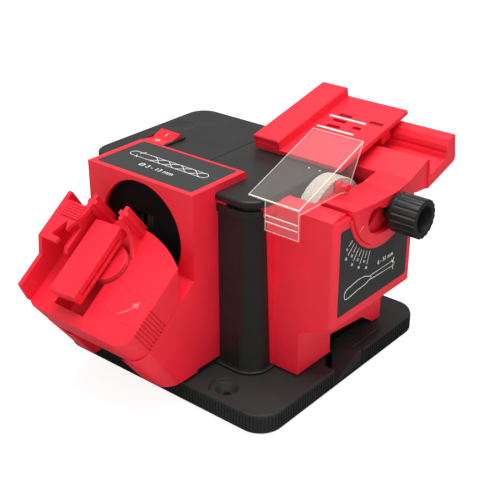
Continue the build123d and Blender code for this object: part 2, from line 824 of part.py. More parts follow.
def make_guide_fence():
    """Side wall on the block's left, a lower wall beside the bar, and the gauge plate over both."""
    x0 = guide_left + 0.5
    wall_outline = [(fence_front, guide_height), (fence_front + 3, fence_low), (fence_step - 8, fence_low),
                    (fence_step, gauge_height), (fence_back, gauge_height),
                    (fence_back - 0.8, fence_tail_low), (fence_back - 6, fence_tail_low - 3),
                    (fence_back - 6, guide_height)]
    wall = slab_x(wall_outline, x0, x0 + fence_thickness)
    plate_low = gauge_height - gauge_thickness
    inner_back = (post_front + post_back) / 2
    inner_outline = [(inner_front, guide_height), (inner_front, inner_top - 2.5), (inner_front + 3.5, inner_top),
                     (gauge_pad_front - 1.5, inner_top), (gauge_pad_front, plate_low), (inner_back, plate_low),
                     (inner_back, guide_height)]
    inner_right = post_left_x - post_rib / 2 - inner_gap
    wall += slab_x(inner_outline, inner_right - inner_thickness, inner_right)
    edge = [(x0, fence_step), (x0 + 15, fence_step), (x0 + 17, fence_step + 12),
            (x0 + gauge_width, fence_step + 20), (x0 + gauge_width + 1.5, gauge_pad_back),
            (x0, gauge_pad_back)]
    plate = slab_z(edge, plate_low, gauge_height)
    notch = slab_z([(x0 + 8.0, fence_step + 4), (x0 + 13.2, fence_step + 15), (x0 + 20.0, fence_step + 3)],
                   gauge_height - 5, gauge_height + 1)
    plate -= notch
    pad = block(x0 + 6, x0 + 20, gauge_pad_front, gauge_pad_back, gauge_height, gauge_height + 1.2)
    for i in range(5):
        s = -4.2 + i * 1.7
        pad -= block(x0 + 5, x0 + 21, s, s + 0.7, gauge_height + 0.6, gauge_height + 2)
    return on_seat(wall + plate + pad)


def make_clamp_wheel():
    wheel = rod_z(well_x, well_s, clamp_wheel_r, pocket_floor + air, clamp_wheel_top)
    for level in range(ring_count):
        h = pocket_floor + 4.0 + level * ring_pitch
        groove = rod_z(well_x, well_s, clamp_wheel_r + 1, h, h + ring_gap)
        wheel -= groove - rod_z(well_x, well_s, clamp_wheel_r - ring_depth, h, h + ring_gap)
    return on_seat(wheel - rod_z(well_x, well_s, clamp_stud_r + running, 0, clamp_wheel_top + 1))


def make_clamp_bar():
    bottom = bar_top - bar_thickness
    bar = slab_z([(bar_left, bar_front), (bar_right, bar_front + 1.5), (bar_right, bar_back),
                  (bar_left, bar_back - 1)], bottom, bar_top)
    top_edges = bar.edges().group_by(Axis.Z)[-1]
    bar = fillet(top_edges, 0.8)
    bar -= block(bar_right - 1.6, bar_right + 1, bar_front + 6, bar_back - 6, bottom + 2.2, bottom + 4.2)
    for s in (bar_front + 10, bar_front + 22):
        bar -= block(bar_right - 3, bar_right + 1, s, s + 7, bottom + 2.2, bottom + 4.2)
    # the jaw that presses the drill down into the pocket
    jaw_top = bottom + 0.5
    jaw_low = guide_height + clamp_drop + 0.6
    bar += block(bar_left + 4, bar_right - 6, bar_front + 2, well_s - well_r - 6, jaw_low, jaw_top)
    return on_seat(bar)


def make_clamp_stud():
    return on_seat(rod_z(well_x, well_s, clamp_stud_r, clamp_stud_end, bar_top - bar_thickness))


# ------------------------------------------------------------------ chisel housing
def chisel_column(z0, z1):
    """The upper housing's outline, its outer front corner rounded, from inside the body."""
    corner = (chisel_right, chisel_front)
    outline = [(chisel_root, chisel_front), corner, (chisel_right, chisel_back), (chisel_root, chisel_back)]
    return slab_z(outline, z0, z1, chisel_bevel, [corner])


def make_chisel_housing():
    w = chisel_wall
    outer = chisel_column(chisel_bottom, chisel_top)
    roof = [(chisel_front, chisel_top - 1), (chisel_front, chisel_top), (chisel_front + 6, roof_top),
            (roof_back, roof_top), (roof_back, chisel_top - 1)]
    outer += slab_x(roof, chisel_root, chisel_right - roof_inset)
    outer -= block(body_right, chisel_right - w, chisel_front + w, chisel_back - w,
                   chisel_bottom + w, chisel_top - w)
    # open top over the wheel, behind the roof
    outer -= block(body_right, chisel_right - w, roof_back, chisel_back - w, chisel_top - w - 1, roof_top + 1)
    # the foot beside the body, open over the release lever
    foot_z = base_height + foot_clear
    foot_back = chisel_back + w
    foot = block(chisel_root, foot_right, chisel_front, foot_back, foot_z, chisel_bottom + 1)
    foot -= block(chisel_root - 1, foot_right - w, chisel_front + w, foot_back - w,
                  base_height, chisel_bottom - w)
    foot += block(chisel_root, foot_right, chisel_back, rear_foot_back, foot_z, chisel_bottom + 1)
    foot -= slab_x([(notch_front, 0), (notch_front, notch_top), (notch_back, notch_top - 4),
                    (notch_low_back, foot_z), (notch_low_back, 0)], chisel_root - 1, foot_right + 1)
    outer += foot
    # the underside slopes down from the right face to the foot
    slope = make_face(Polyline((foot_right - 1, chisel_bottom + 0.5), (chisel_right, chisel_bottom + 0.5),
                               (chisel_right, chisel_bottom), (foot_right, chisel_bottom - underside_drop),
                               (foot_right - 1, chisel_bottom - underside_drop), close=True))
    wedge = Plane.XZ.offset(-chisel_back) * extrude(slope, amount=chisel_back - chisel_front)
    outer += wedge & chisel_column(0, chisel_top)
    boss_right = body_right + screw_boss_length
    for y, z in chisel_screw_points:
        outer += rod_x(y, z, screw_boss_r, body_right, boss_right)
        wall_y = chisel_front + 1 if y < 0 else chisel_back - 1
        outer += block(body_right, boss_right, min(y, wall_y), max(y, wall_y), z - 1, z + 1)
        outer -= rod_x(y, z, case_screw_r + running, body_right - 1, boss_right - 1)
    # recess for the side label, and the ring round the table's cheek
    outer -= label_shape(0, chisel_right - label_depth, chisel_right + 1)
    cut_r = cheek_r + cheek_gap
    ring = tube_x(tilt_y, tilt_z, cut_r + ring_width, cut_r, chisel_right - 1, chisel_right + ring_height)
    outer += ring & block(0, far, chisel_front + 6, chisel_back - 2, chisel_bottom, chisel_top - 2)
    # round cut for the tilting table, and room for its rear arm
    outer -= rod_x(tilt_y, tilt_z, cut_r, body_right, chisel_right + 5)
    outer -= block(body_right, chisel_right + 5, tilt_y + arm_clear_y, far, arm_clear_z, far)
    # inner web behind the cheek that carries the knob's stud, below the table at both ends of its tilt
    web = rod_x(tilt_y, tilt_z, cut_r + 6, web_right - web_thickness, web_right)
    for angle in (0, tilt_limit):
        web -= Pos(0, tilt_y, tilt_z) * Rot(angle, 0, 0) * block(0, far, -far, far, -web_depth, far)
    outer += web & block(0, far, chisel_front + 1, tilt_y + arm_clear_y + 2, chisel_bottom, far)
    knob_y, knob_z = knob_place()
    outer += rod_x(knob_y, knob_z, knob_stud_r + 2.4, knob_stud_inner - 2, web_right - 1)
    outer -= rod_x(knob_y, knob_z, knob_stud_r + running, knob_stud_inner - 1, chisel_right + 1)
    # ear beside the wheel for the guard's pin
    ear_right = guard_ear_left + guard_ear_width
    ear = block(guard_ear_left, ear_right, roof_back - 2, guard_pivot_y, roof_top - 4, roof_top)
    ear += rod_x(guard_pivot_y, guard_pivot_z, guard_ear_r, guard_ear_left, ear_right)
    ear += block(guard_ear_left, ear_right, guard_pivot_y - guard_ear_r, guard_pivot_y + guard_ear_r,
                 roof_top - 4, guard_pivot_z)
    outer += ear - rod_x(guard_pivot_y, guard_pivot_z, guard_pin_r, 0, far)
    # a lip along the body's side, wider towards the top
    lip = [(chisel_front, foot_z), (chisel_front - lip_low, foot_z), (chisel_front - lip_high, chisel_top - 8),
           (chisel_front - lip_high, chisel_top), (chisel_front, chisel_top)]
    outer += slab_x(lip, chisel_root, body_right + lip_thickness)
    # a hook round the body's band at the front corner
    hook_front = chisel_front - band_hook_length
    hook = block(body_right - 3, body_right + band_hook_out, hook_front, chisel_front + 1,
                 band_top - 3.6, band_top + 1.8)
    return (outer - body_outer()) + (hook - body_outer())


def label_shape(inset, x0, x1):
    """The side label's outline drawn in by inset, from x0 to x1."""
    front, back = side_label_front + inset, side_label_back - inset
    bottom, top = side_label_bottom + inset, side_label_top - inset
    corners = [(front, bottom), (back, bottom), (back, top), (front, top)]
    return slab_x(corners, x0, x1, label_corner, corners)


def make_chisel_label():
    plate = label_shape(running, chisel_right - label_depth, chisel_right - 0.1)
    ring_r = cheek_r + cheek_gap + ring_width
    return plate - rod_x(tilt_y, tilt_z, ring_r + running, chisel_right - 2, chisel_right + 1)


def knob_place():
    a = radians(knob_angle)
    return (tilt_y + slot_r * cos(a), tilt_z + slot_r * sin(a))


# ------------------------------------------------------------------ tilting table
def from_tilt(*points):
    """Places given in (y, z) from the tilting axis, as (y, z) of the machine."""
    return [(tilt_y + dy, tilt_z + dz) for dy, dz in points]


table_top_line = from_tilt((-33.4, -2.6), (-12.9, -4.5), (9.8, -5.0), (25.1, -2.5), (43.9, 4.7))
table_step = from_tilt((46.45, -5.8), (44.4, -14.3))


def make_tilt_table():
    low_line = [(y, z - table_thickness) for y, z in table_top_line[3::-1]]
    rear_under = from_tilt((45.45, -6.4), (33.45, -13.1), (29.45, -12.2))
    plate = slab_x(table_top_line + rear_under + low_line, table_left, table_right)
    plate -= block(table_left - 1, wheel_gap_right, -far, wheel_gap_back, 0, far)
    # a ledge that closes the back of the gap over the wheel
    plate += block(table_left, wheel_gap_right, wheel_gap_back, wheel_gap_back + ledge_depth,
                   ledge_z_low, table_top_line[3][1] - table_thickness)
    # the rail behind: a groove for the carriage's runner, and a back wall with a step and a fine groove
    back_wall = from_tilt((62.8, -1.0), (63.3, 2.4), (64.4, 2.7), (64.6, 4.3), (63.6, 4.5), (64.05, 7.2))
    carriage_under = [carriage_point(pad_front, -pad_drop - air), carriage_point(pad_back, -pad_drop - air)]
    rail_under = from_tilt((76.1, -3.0), (74.8, -5.5), (49.4, -13.0))
    step = [table_top_line[-1], *table_step]
    rail = slab_x(step[:2] + back_wall + carriage_under + rail_under + step[2:], rail_left, rail_right)
    join = slab_x(from_tilt((25.1, -6.5), (38.45, 0.6)) + step + rear_under[1:2], table_left, table_right)
    # the cheek hangs from the right edge, with the slot for the knob
    cheek = rod_x(tilt_y, tilt_z, cheek_r, table_right - cheek_thickness, table_right)
    below_top = [(y, z - 0.6) for y, z in table_top_line]
    cheek &= slab_x(below_top + [(far, -far), (-far, -far), (-far, below_top[0][1])], 0, far)
    cheek -= arc_slot(table_right - cheek_thickness - 1, table_right + 1)
    table = plate + rail + join + cheek
    # the front edge keeps inside the cheek's radius, so it clears the housing when tilted
    front_zone = block(table_left - 1, table_right + 1, tilt_y - 2 * cheek_r, tilt_y - cheek_r / 2, 0, far)
    return table - (front_zone - rod_x(tilt_y, tilt_z, cheek_r, table_left - 2, table_right + 2))


def arc_slot(x0, x1):
    ring = tube_x(tilt_y, tilt_z, slot_r + slot_half, slot_r - slot_half, x0, x1)
    a0, a1 = radians(slot_start), radians(slot_end)
    wedge = slab_x(from_tilt((0, 0), (far * cos(a0), far * sin(a0)), (0, -2 * far),
                             (far * cos(a1), far * sin(a1))), x0, x1)
    slot = ring & wedge
    for a in (a0, a1):
        slot += rod_x(tilt_y + slot_r * cos(a), tilt_z + slot_r * sin(a), slot_half, x0, x1)
    return slot


def make_knob():
    ky, kz = knob_place()
    head = rod_x(ky, kz, knob_r, knob_inner, knob_inner + knob_length)
    flute_at = knob_r + 0.5
    for i in range(knob_flutes):
        a = 2 * pi * i / knob_flutes
        head -= rod_x(ky + flute_at * cos(a), kz + flute_at * sin(a), knob_flute_r,
                      knob_inner + 1.5, knob_inner + knob_length + 1)
    head -= rod_x(ky, kz, knob_cup_r, knob_inner + knob_length - knob_cup_depth, knob_inner + knob_length + 1)
    head += rod_x(ky, kz, knob_collar_r, table_right + air, knob_inner)
    head += rod_x(ky, kz, knob_stem_r, web_right + air, table_right + air)
    return head - rod_x(ky, kz, knob_stud_r, web_right, knob_inner + 4)


def make_knob_stud():
    ky, kz = knob_place()
    return rod_x(ky, kz, knob_stud_r, knob_stud_inner, knob_inner + 4)


# ------------------------------------------------------------------ carriage
carriage_plane = Plane(origin=(0, carriage_front, carriage_z), x_dir=(1, 0, 0),
                       z_dir=(0, -sin(radians(carriage_angle)), cos(radians(carriage_angle))))


def on_carriage(shape):
    return carriage_plane.location * shape


def carriage_point(t, h):
    """The (y, z) of a place t back along the carriage and h above its plate."""
    a = radians(carriage_angle)
    return (carriage_front + t * cos(a) - h * sin(a), carriage_z + t * sin(a) + h * cos(a))


def make_carriage_plate():
    plate = block(carriage_left, carriage_right, 0, carriage_length, -carriage_thickness, 0)
    for x0, x1, t in carriage_slots:
        plate -= block(x0, x1, t, t + carriage_slot_width, -carriage_thickness - 1, 1)
    # runner in the rail's groove and a pad over the rail
    plate += block(carriage_left + 4, carriage_right - 4, runner_front, runner_back, -runner_depth, -1.0)
    plate += block(carriage_left + 4, carriage_right - 4, pad_front + 1, pad_back - 1, -pad_drop, -1.0)
    return on_carriage(plate)


def make_carriage_bar():
    bar = block(carriage_left, carriage_left + bar_width, 0, carriage_length, 0, bar_height)
    bar = chamfer(bar.edges().group_by(Axis.Z)[-1], 0.8)
    bar -= block(carriage_left + 2, carriage_left + bar_width - 2, -1, 1.2, 1.6, bar_height - 1.6)
    return on_carriage(bar)


def make_spring_strips():
    return [on_carriage(block(strip_left, strip_right, t, t + strip_width, 0, strip_thickness))
            for t in strip_fronts]


# ------------------------------------------------------------------ guard
def make_guard():
    w = guard_wall
    top = slab_x([(guard_front, guard_front_z), (guard_back, guard_back_z), (guard_back, guard_back_z - w),
                  (guard_front, guard_front_z - w)], guard_left, guard_right)
    skirt = block(guard_skirt_left, guard_right, guard_front, guard_front + w,
                  guard_skirt_bottom, guard_front_z - 0.2)
    ledge = guard_skirt_bottom + 8.5
    skirt += block(guard_skirt_left, guard_right, guard_front - 1.0, guard_front, ledge, ledge + 1.2)
    lug_front, lug_back = guard_pivot_y - 4.4, guard_pivot_y + 4.0
    side = slab_x([(guard_front, guard_front_z), (guard_back, guard_back_z), (lug_back, guard_pivot_z + 2.2),
                   (lug_back - 1.4, guard_pivot_z - 2.6), (lug_front, guard_pivot_z - 2.6),
                   (lug_front, guard_side_bottom), (guard_front, guard_side_bottom)],
                  guard_right - w, guard_right)
    pin_hole = rod_x(guard_pivot_y, guard_pivot_z, guard_pin_r + running, guard_right - w - 1, guard_right + 1)
    return top + skirt + side - pin_hole


def make_guard_pin():
    pin = rod_x(guard_pivot_y, guard_pivot_z, guard_pin_r, guard_ear_left, guard_right + 1.2)
    return pin + rod_x(guard_pivot_y, guard_pivot_z, guard_pin_r + 0.8, guard_right + air, guard_right + 1.2)


# ------------------------------------------------------------------ release lever
spring_y = 10.0
spring_z = 6.0
spring_r = 2.9
spring_wire = 0.6
spring_turns = 6
spring_hole_r = 3.8
spring_seat = 2.0
spring_in_lever = 4.0


def make_lever():
    pad_right = lever_left + lever_pad_width
    # a wedge that slopes from the pad's front edge down to the base's bottom edge
    low = 1.0
    body = slab_x([(lever_front, low), (lever_back, low),
                   (lever_back, base_height + 0.3), (lever_pad_front, base_height + 0.3)],
                  lever_left, lever_outer)
    trim = make_face(Polyline((lever_left - 10, lever_front - 5), (lever_nose, lever_front - 5),
                              (lever_nose, lever_front), (lever_left, lever_pad_front - 2),
                              (lever_left - 10, lever_pad_front - 2), close=True))
    body -= Pos(0, 0, -5) * extrude(trim, amount=40)
    pad = block(lever_left, pad_right, lever_pad_front, lever_pad_back, base_height + 0.3, lever_pad_top)
    pitch = lever_pad_width / (pad_groove_count + 1)
    for i in range(pad_groove_count):
        x = lever_left + (i + 1) * pitch
        pad -= block(x - 0.5, x + 0.5, lever_pad_front - 1, lever_pad_back + 1,
                     lever_pad_top - 0.7, lever_pad_top + 1)
    lever = body + pad
    # the spring's bore, deep enough for it when the lever is pushed in
    return lever - rod_x(spring_y, spring_z, spring_hole_r, lever_left - 1,
                         lever_left + spring_in_lever + lever_travel + air)


def make_lever_spring():
    left = lever_left - lever_travel - lever_gap - spring_seat + running
    right = lever_left + spring_in_lever
    length = right - left - 2 * spring_wire
    path = Helix(pitch=length / spring_turns, height=length, radius=spring_r)
    start = path @ 0
    section = Plane(origin=start, z_dir=path % 0) * Circle(spring_wire)
    coil = sweep(section, path=path, is_frenet=True)
    return Pos(left + spring_wire, spring_y, spring_z) * Rot(0, 90, 0) * coil


# ------------------------------------------------------------------ switch
def switch_opening(inset, z0, z1):
    """The switch's outline drawn in by inset, from z0 to z1."""
    return block(switch_left + inset, switch_right - inset, switch_front + inset, switch_back - inset, z0, z1)


def switch_axis():
    return ((switch_left + switch_right) / 2, (switch_front + switch_back) / 2, body_top - rocker_depth)


def make_switch():
    x, y, z = switch_axis()
    cut_inset = bezel_lip + bezel_wall
    bezel = column(switch_left, switch_right, switch_front, switch_back,
                   body_top, body_top + bezel_height, bezel_corner)
    bezel += switch_opening(bezel_lip, body_top - 11, body_top + 0.1)
    bezel -= switch_opening(cut_inset, body_top - 9.5, body_top + bezel_height + 1)
    reach = (switch_right - switch_left) / 2 - bezel_lip - 0.2
    return bezel - rod_x(y, z, rocker_pin_r + running, x - reach, x + reach)


def make_rocker():
    """Bent rocker whose back end stands up, on pins in the bezel's side walls."""
    x, y, z = switch_axis()
    inset = bezel_lip + bezel_wall + air
    half_y = (switch_back - switch_front) / 2 - inset
    half_x = (switch_right - switch_left) / 2 - inset
    outline = [(half_y - 1.1, rocker_rise), (half_y, 0), (half_y - 1.5, -1.0), (2.0, -5.5), (-2.0, -5.5),
               (-half_y, -1.0), (-half_y, rocker_rise - 2.3), (0, rocker_rise - 3.0)]
    rocker = slab_x(outline, x - half_x, x + half_x)
    reach = (switch_right - switch_left) / 2 - bezel_lip - air
    return Pos(0, y, z) * rocker + rod_x(y, z, rocker_pin_r, x - reach, x + reach)


def make_inlet():
    flange = rod_y(inlet_x, inlet_z, inlet_bore + 4.2, body_back, body_back + 2.2)
    neck = rod_y(inlet_x, inlet_z, inlet_bore + 2.4 - running, body_back - body_wall - 3, body_back)
    return flange + neck - rod_y(inlet_x, inlet_z, inlet_bore, body_back - 10, body_back + 5)


# ------------------------------------------------------------------ the whole machine
keep("base_plate", make_base())
keep("rubber_feet", *[rod_z(x, y, foot_r, -foot_proud, foot_thickness - foot_proud) for x, y in foot_points])
left_shell, right_shell = body_shells()
keep("body_shell_left", left_shell)
keep("body_shell_right", right_shell)
keep("body_screws", *[screw(rod_z, x, y, base_height - base_skin, base_height + body_boss_height - 4)
                      for x, y in body_screw_points])
keep("case_screws", *[screw(rod_x, y, z, body_left + case_head_sunk + case_head_height, seam_x + 8)
                      for y, z in case_screw_points])
inside_front = body_front + body_wall
inside_right = body_right - body_wall
keep("housing_screws",
     *[screw(rod_y, x, z, inside_front, body_front - screw_boss_length + 2) for x, z in drill_screw_points],
     *[screw(rod_x, y, z, inside_right, body_right + screw_boss_length - 2) for y, z in chisel_screw_points])

can, magnets, end_cap = make_motor_case()
keep("motor_can", can)
keep("motor_magnets", *magnets)
keep("motor_end_cap", end_cap)
keep("motor_cradle", make_motor_cradle())
keep("spindle_bracket", make_spindle_bracket())
keep("bearings", bearing(spindle_y, spindle_z, bearing_left_x + 2),
     bearing(drill_spindle_y, drill_spindle_z, bearing_left_x),
     bearing(drill_spindle_y, drill_spindle_z, bearing_left_x + bearing_width),
     bearing(spindle_y, spindle_z, can_right - 2))
core, commutator, commutator_x = make_armature()
keep("motor_shaft", rod_x(spindle_y, spindle_z, shaft_r, fan_left - 0.5, chisel_wheel_right + 9))
keep("armature", core)
keep("commutator", commutator)
keep("carbon_brushes", *make_brushes(commutator_x))
keep("cooling_fan", make_fan())
keep("motor_pulley", pulley(spindle_y, spindle_z))
keep("drive_belt", make_belt())
keep("chisel_wheel",
     grinding_wheel(spindle_y, spindle_z, chisel_wheel_r, chisel_wheel_left, chisel_wheel_right))
keep("chisel_wheel_flanges", *clamp_flanges(spindle_y, spindle_z, chisel_wheel_left, chisel_wheel_right))
keep("chisel_wheel_nut", nut(spindle_y, spindle_z, chisel_wheel_right + wheel_flange_thickness))

keep("drill_spindle", rod_x(drill_spindle_y, drill_spindle_z, shaft_r, bearing_left_x, drill_wheel_right + 9))
keep("drill_pulley", pulley(drill_spindle_y, drill_spindle_z))
keep("drill_wheel",
     grinding_wheel(drill_spindle_y, drill_spindle_z, drill_wheel_r, drill_wheel_left, drill_wheel_right))
keep("drill_wheel_flanges",
     *clamp_flanges(drill_spindle_y, drill_spindle_z, drill_wheel_left, drill_wheel_right))
keep("drill_wheel_nut", nut(drill_spindle_y, drill_spindle_z, drill_wheel_right + wheel_flange_thickness))

keep("drill_housing", make_drill_housing())
keep("drill_inner_cover", make_inner_cover())
keep("drill_label", make_drill_label())
keep("guide_block", make_guide_block())
keep("guide_fence", make_guide_fence() - parts["guide_block"])
keep("guide_pivot_pin",
     on_seat(rod_z(swing_x, swing_s, swing_pin_r, -swing_pin_length / 2, swing_pin_length / 2 - 0.6)))
keep("clamp_wheel", make_clamp_wheel())
keep("clamp_bar", make_clamp_bar())
keep("clamp_stud", make_clamp_stud())

keep("chisel_housing", make_chisel_housing())
keep("chisel_label", make_chisel_label())
keep("tilt_table", make_tilt_table())
keep("lock_knob", make_knob())
keep("knob_stud", make_knob_stud())
keep("carriage_plate", make_carriage_plate())
keep("carriage_bar", make_carriage_bar())
keep("spring_strips", *make_spring_strips())
keep("guard", make_guard())
keep("guard_pin", make_guard_pin())
keep("release_lever", make_lever())
keep("release_spring", make_lever_spring())
keep("switch_bezel", make_switch())
keep("switch_rocker", make_rocker())
keep("cord_inlet", make_inlet())

os.makedirs("parts", exist_ok=True)
for name, shape in parts.items():
    export_step(shape, f"parts/{name}.step")
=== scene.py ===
import json
from math import cos, pi, radians, sin

import bpy
from mathutils import Matrix, Vector


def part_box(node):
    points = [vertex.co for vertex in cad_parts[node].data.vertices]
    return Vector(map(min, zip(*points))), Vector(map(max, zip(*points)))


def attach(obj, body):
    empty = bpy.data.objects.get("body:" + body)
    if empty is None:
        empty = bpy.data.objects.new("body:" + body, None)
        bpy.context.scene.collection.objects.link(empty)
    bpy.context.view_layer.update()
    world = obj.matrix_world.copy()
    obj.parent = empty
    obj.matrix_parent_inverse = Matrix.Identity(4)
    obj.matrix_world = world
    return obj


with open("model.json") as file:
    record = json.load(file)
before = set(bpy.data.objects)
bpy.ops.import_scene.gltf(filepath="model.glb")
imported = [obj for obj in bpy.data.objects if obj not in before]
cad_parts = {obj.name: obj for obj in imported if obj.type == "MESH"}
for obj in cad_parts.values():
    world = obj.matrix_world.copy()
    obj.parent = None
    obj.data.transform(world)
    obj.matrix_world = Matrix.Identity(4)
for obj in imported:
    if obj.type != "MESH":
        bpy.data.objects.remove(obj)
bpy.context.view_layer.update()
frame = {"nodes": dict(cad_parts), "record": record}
mm = 0.001
nodes = frame["nodes"]


# -------- places
def at(x, y, z):
    """A place in millimetres as a vector in metres."""
    return Vector((x * mm, y * mm, z * mm))


def arc(center_x, center_y, r, degrees):
    """Places in a plane on a circle, one for each angle in degrees."""
    return [(center_x + r * cos(radians(a)), center_y + r * sin(radians(a))) for a in degrees]


def smoothed(outline):
    """A soft closed line through the outline's points, as a Catmull-Rom curve."""
    count, steps = len(outline), 5
    line = []
    for i in range(count):
        a, b, c, d = (Vector(outline[(i + k) % count]) for k in (-1, 0, 1, 2))
        for step in range(steps):
            t = step / steps
            line.append(tuple(0.5 * (2 * b + (c - a) * t + (2 * a - 5 * b + 4 * c - d) * t ** 2
                                     + (3 * b - a - 3 * c + d) * t ** 3)))
    return line


def on_slope(slope, x, t, h):
    """A place x across, t up and h above a slope, given as its angle and its start's y and z."""
    angle, start_y, start_z = slope
    level, rise = cos(radians(angle)), sin(radians(angle))
    return (x, start_y + t * level - h * rise, start_z + t * rise + h * level)


# -------- kinds of pieces, all sizes in millimetres
def plate_piece(name, plates, material, body):
    """Closed plates, each given as its low and its high outline, counterclockwise from above."""
    points, faces = [], []
    for low, high in plates:
        first, count = len(points), len(low)
        points += low + high
        faces.append(tuple(range(first + count - 1, first - 1, -1)))
        faces.append(tuple(range(first + count, first + 2 * count)))
        for i in range(count):
            j = (i + 1) % count
            faces.append((first + i, first + j, first + count + j, first + count + i))
    mesh = bpy.data.meshes.new(name)
    mesh.from_pydata([at(*p) for p in points], [], faces)
    mesh.validate()
    mesh.update()
    mesh.materials.append(material)
    piece = bpy.data.objects.new(name, mesh)
    bpy.context.collection.objects.link(piece)
    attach(piece, body)


def line_piece(name, lines, radius, material, body, closed=False):
    """Thin round lines along lists of points."""
    data = bpy.data.curves.new(name, "CURVE")
    data.dimensions = "3D"
    data.bevel_depth = radius * mm
    data.bevel_resolution = 2
    data.use_fill_caps = True
    for points in lines:
        spline = data.splines.new("POLY")
        spline.points.add(len(points) - 1)
        for target, p in zip(spline.points, points):
            target.co = (*at(*p), 1.0)
        spline.use_cyclic_u = closed
    data.materials.append(material)
    piece = bpy.data.objects.new(name, data)
    bpy.context.collection.objects.link(piece)
    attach(piece, body)


def text_piece(name, words, size, place, right, up, material, body, thick=0.12):
    """Raised figures whose middle is at place; right and up are their directions."""
    data = bpy.data.curves.new(name, "FONT")
    data.body = words
    data.size = size * mm
    data.align_x = "CENTER"
    data.align_y = "CENTER"
    data.extrude = thick * mm
    data.materials.append(material)
    piece = bpy.data.objects.new(name, data)
    bpy.context.collection.objects.link(piece)
    right, up = Vector(right).normalized(), Vector(up).normalized()
    turn = Matrix((right, up, right.cross(up))).transposed().to_4x4()
    piece.matrix_world = Matrix.Translation(at(*place)) @ turn
    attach(piece, body)


# -------- materials
def principled(name, color, rough, metallic=0.0, shine=0.5):
    """A new material with one colour, and its shader node."""
    material = bpy.data.materials.new(name)
    material.use_nodes = True
    shader = material.node_tree.nodes["Principled BSDF"]
    shader.inputs["Base Color"].default_value = (*color, 1.0)
    shader.inputs["Roughness"].default_value = rough
    shader.inputs["Metallic"].default_value = metallic
    shader.inputs["Specular IOR Level"].default_value = shine
    return material, shader


def noise(material, scale, detail=3.0, stretch=(1.0, 1.0, 1.0)):
    """Noise over the piece's own coordinates, in repeats per metre."""
    tree = material.node_tree
    where = tree.nodes.new("ShaderNodeTexCoord")
    mapping = tree.nodes.new("ShaderNodeMapping")
    mapping.inputs["Scale"].default_value = stretch
    texture = tree.nodes.new("ShaderNodeTexNoise")
    texture.inputs["Scale"].default_value = scale
    texture.inputs["Detail"].default_value = detail
    tree.links.new(where.outputs["Object"], mapping.inputs["Vector"])
    tree.links.new(mapping.outputs["Vector"], texture.inputs["Vector"])
    return texture


def vary_color(material, shader, texture, dark, light):
    """Let the colour run from dark to light with the texture."""
    stops = (0.3, 0.7)
    ramp = material.node_tree.nodes.new("ShaderNodeValToRGB")
    for stop, position, color in zip(ramp.color_ramp.elements, stops, (dark, light)):
        stop.position = position
        stop.color = (*color, 1.0)
    material.node_tree.links.new(texture.outputs["Fac"], ramp.inputs["Fac"])
    material.node_tree.links.new(ramp.outputs["Color"], shader.inputs["Base Color"])


def vary_rough(material, shader, texture, low, high):
    """Let the roughness run from low to high with the texture."""
    spread = material.node_tree.nodes.new("ShaderNodeMapRange")
    spread.inputs["To Min"].default_value = low
    spread.inputs["To Max"].default_value = high
    material.node_tree.links.new(texture.outputs["Fac"], spread.inputs["Value"])
    material.node_tree.links.new(spread.outputs["Result"], shader.inputs["Roughness"])


def emboss(material, shader, texture, strength, depth):
    """Raise the surface with the texture, by a depth in millimetres."""
    bump = material.node_tree.nodes.new("ShaderNodeBump")
    bump.inputs["Strength"].default_value = strength
    bump.inputs["Distance"].default_value = depth * mm
    material.node_tree.links.new(texture.outputs["Fac"], bump.inputs["Height"])
    material.node_tree.links.new(bump.outputs["Normal"], shader.inputs["Normal"])


def moulded(name, color, rough, spread=0.06, grain=2600.0, strength=0.12, shine=0.5):
    """Moulded plastic: an even colour with a fine grain."""
    mottle_scale, gloss_scale, gloss_spread = 45.0, 160.0, 0.05
    grain_detail, grain_depth = 2.0, 0.05
    material, shader = principled(name, color, rough, shine=shine)
    dark = tuple(c * (1.0 - spread) for c in color)
    light = tuple(min(1.0, c * (1.0 + spread)) for c in color)
    vary_color(material, shader, noise(material, mottle_scale), dark, light)
    gloss = noise(material, gloss_scale)
    vary_rough(material, shader, gloss, rough - gloss_spread, rough + gloss_spread)
    emboss(material, shader, noise(material, grain, grain_detail), strength, grain_depth)
    return material


def metal(name, color, rough, stretch=(1.0, 1.0, 1.0)):
    """Machined metal with fine marks along one direction."""
    mark_scale, mark_strength, mark_depth = 900.0, 0.15, 0.02
    smoother, rougher = 0.06, 0.1
    patch_scale, patch_dark = 120.0, 0.9
    material, shader = principled(name, color, rough, metallic=1.0)
    marks = noise(material, mark_scale, stretch=stretch)
    vary_rough(material, shader, marks, rough - smoother, rough + rougher)
    dark = tuple(c * patch_dark for c in color)
    vary_color(material, shader, noise(material, patch_scale), dark, color)
    emboss(material, shader, marks, mark_strength, mark_depth)
    return material


def grit(name, dark, light):
    """Bonded grit with darker grains and small pits."""
    rough, grain_scale, grain_detail, pit_strength, pit_depth = 0.85, 1500.0, 6.0, 0.9, 0.25
    material, shader = principled(name, light, rough)
    grains = noise(material, grain_scale, grain_detail)
    vary_color(material, shader, grains, dark, light)
    emboss(material, shader, grains, pit_strength, pit_depth)
    return material


def clear(name, color, rough, alpha):
    """Clear sheet with a slight waviness."""
    refraction, wave_scale, wave_detail, wave_strength, wave_depth = 1.5, 60.0, 1.0, 0.03, 0.1
    material, shader = principled(name, color, rough)
    shader.inputs["Alpha"].default_value = alpha
    shader.inputs["IOR"].default_value = refraction
    material.surface_render_method = "BLENDED"
    emboss(material, shader, noise(material, wave_scale, wave_detail), wave_strength, wave_depth)
    return material


